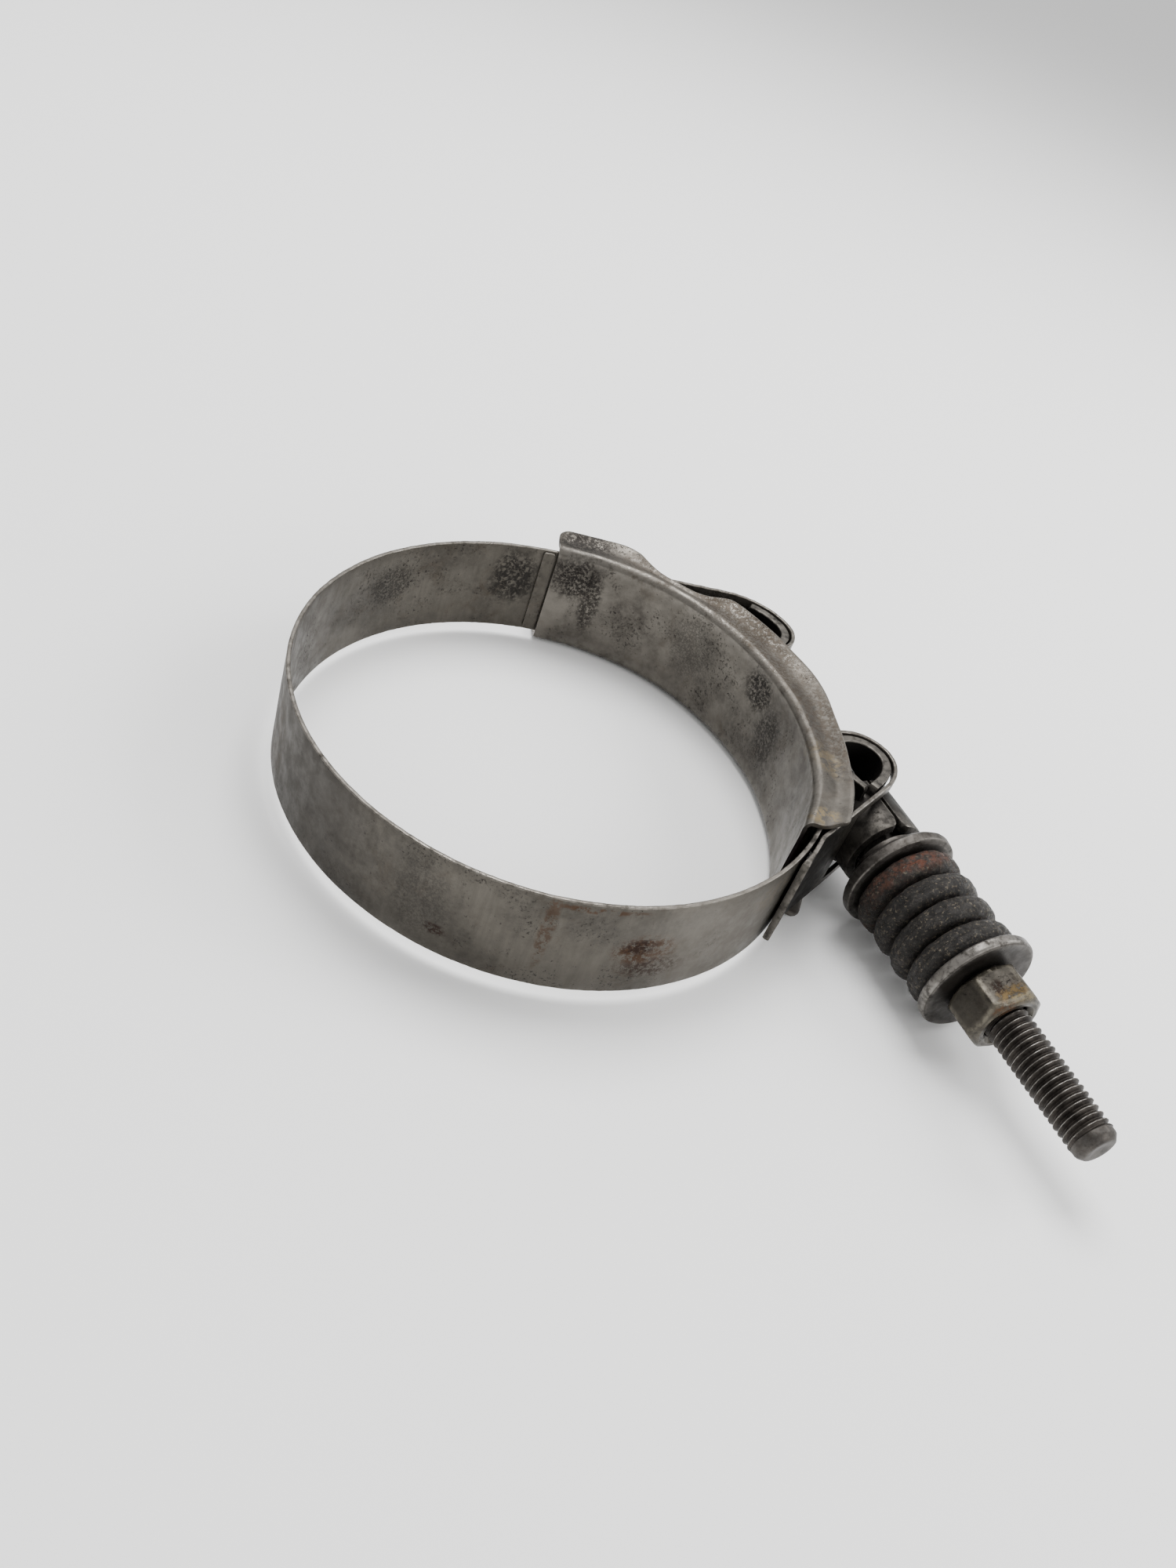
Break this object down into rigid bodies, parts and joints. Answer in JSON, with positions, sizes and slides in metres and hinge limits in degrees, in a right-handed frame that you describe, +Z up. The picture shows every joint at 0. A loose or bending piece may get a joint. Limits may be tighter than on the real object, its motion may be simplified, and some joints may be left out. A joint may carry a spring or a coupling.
{
  "type": "hose clamp",
  "caption": "Spring-loaded T-bolt hose clamp: looped steel band, bridge liner, rolled trunnions, long bolt, disc spring stack, washers and hex nut.",
  "frame": {"origin": "middle of the clamp's footprint, on the surface that it lies on", "axes": "+Z up, along the axis of the hose; +Y along the bolt from its tip towards its T head; +X from the ring towards the bolt"},
  "size_m": [0.1142, 0.1506, 0.0244],
  "materials": {
    "band_steel": "dull stainless, stained and pitted",
    "bridge_steel": "dull stainless, pitted, scuffed on its bends",
    "trunnion_steel": "dark, oily and stained",
    "bolt_steel": "dark thread grooves, worn bright crests",
    "washer_steel": "worn bright rims, dark faces",
    "spring_steel": "black with rust and dried dirt",
    "nut_steel": "dull plated steel with waxy brown residue"
  },
  "bodies": {
    "far_band": {"band_far_segment": "band_steel", "bridge": "bridge_steel", "bolt_trunnion": "trunnion_steel"},
    "near_band": {"band_near_segment": "band_steel"},
    "nut_barrel": {"nut_trunnion": "trunnion_steel"},
    "bolt": {"t_bolt": "bolt_steel"},
    "seat": {"seat_washer": "washer_steel"},
    "disc_pair_1": {"disc_spring_1": "spring_steel", "disc_spring_2": "spring_steel"},
    "disc_pair_2": {"disc_spring_3": "spring_steel", "disc_spring_4": "spring_steel"},
    "disc_pair_3": {"disc_spring_5": "spring_steel", "disc_spring_6": "spring_steel"},
    "disc_pair_4": {"disc_spring_7": "spring_steel", "disc_spring_8": "spring_steel"},
    "outer_ring": {"outer_washer": "washer_steel"},
    "nut": {"hex_nut": "nut_steel"}
  },
  "joints": [
    {"name": "band_flex", "type": "hinge", "parent": "far_band", "child": "near_band", "pos_m": [-0.05015, 0.04916, 0.01219], "axis": [0, 0, 1], "range_deg": [-4, 3]},
    {"name": "trunnion_swivel", "type": "hinge", "parent": "near_band", "child": "nut_barrel", "pos_m": [0.04603, 0.00486, 0.01219], "axis": [0, 0, 1], "range_deg": [-0.35, 0.27]},
    {"name": "bolt_swing", "type": "hinge", "parent": "far_band", "child": "bolt", "pos_m": [0.04603, 0.04496, 0.01219], "axis": [0, 0, 1], "range_deg": [-4.4, 3.3]},
    {"name": "seat_slide", "type": "slide", "parent": "bolt", "child": "seat", "axis": [0, 1, 0], "range_m": [-0.0068, 0.0051]},
    {"name": "spring_travel", "type": "slide", "parent": "seat", "child": "disc_pair_4", "axis": [0, 1, 0], "range_m": [-0.003, 0.001]},
    {"name": "disc_pair_1_slide", "type": "slide", "parent": "seat", "child": "disc_pair_1", "axis": [0, 1, 0], "range_m": [-0.00078, 0.00026]},
    {"name": "disc_pair_2_slide", "type": "slide", "parent": "seat", "child": "disc_pair_2", "axis": [0, 1, 0], "range_m": [-0.00153, 0.00051]},
    {"name": "disc_pair_3_slide", "type": "slide", "parent": "seat", "child": "disc_pair_3", "axis": [0, 1, 0], "range_m": [-0.00228, 0.00076]},
    {"name": "washer_turn", "type": "hinge", "parent": "disc_pair_4", "child": "outer_ring", "pos_m": [0.04603, -0.04, 0.01219], "axis": [0, 1, 0], "range_deg": [-1940, 1456]},
    {"name": "nut_turn", "type": "hinge", "parent": "outer_ring", "child": "nut", "pos_m": [0.04603, -0.045, 0.01219], "axis": [0, 1, 0], "range_deg": [-866, 290]}
  ],
  "couplings": [
    {"joint": "trunnion_swivel", "follows": "band_flex", "ratio": 0.077175},
    {"joint": "bolt_swing", "follows": "band_flex", "ratio": 1.0772},
    {"joint": "seat_slide", "follows": "band_flex", "m_per_rad": 0.096183},
    {"joint": "washer_turn", "follows": "band_flex", "ratio": 483.47},
    {"joint": "disc_pair_1_slide", "follows": "spring_travel", "ratio": 0.25},
    {"joint": "disc_pair_2_slide", "follows": "spring_travel", "ratio": 0.5},
    {"joint": "disc_pair_3_slide", "follows": "spring_travel", "ratio": 0.75},
    {"joint": "nut_turn", "follows": "spring_travel", "rad_per_m": 5026.5}
  ]
}
